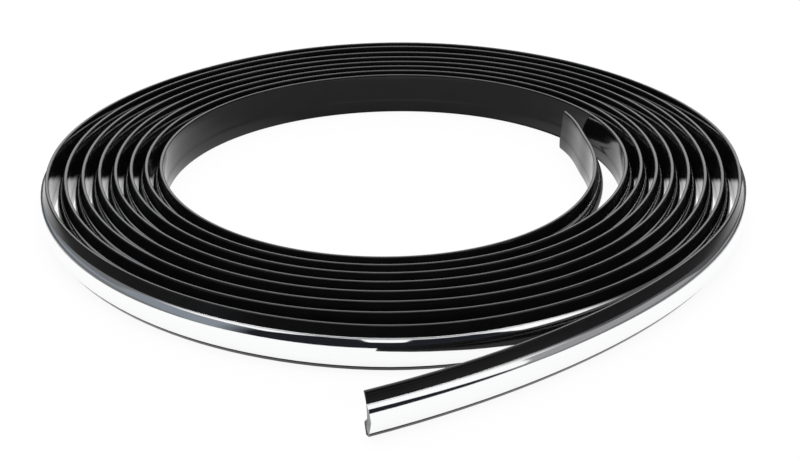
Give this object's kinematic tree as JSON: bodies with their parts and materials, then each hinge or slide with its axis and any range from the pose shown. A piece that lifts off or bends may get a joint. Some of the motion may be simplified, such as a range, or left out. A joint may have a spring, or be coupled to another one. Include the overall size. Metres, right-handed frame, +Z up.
{
  "type": "windshield lock strip",
  "caption": "Loose coil of black lock strip standing on edge: thin top fin, bowed bright outer face, smooth back and a tail that springs away.",
  "frame": {"origin": "middle of the underside of the bounding box, on the plane that the coil stands on", "axes": "+Z up across the strip's width; -Y towards the cut end of the loose tail"},
  "size_m": [0.2614, 0.3102, 0.016],
  "materials": {
    "black_strip": "satin",
    "bright_film": "polished"
  },
  "bodies": {
    "root": {"strip_body": "black_strip", "bright_face": "bright_film"}
  },
  "joints": []
}
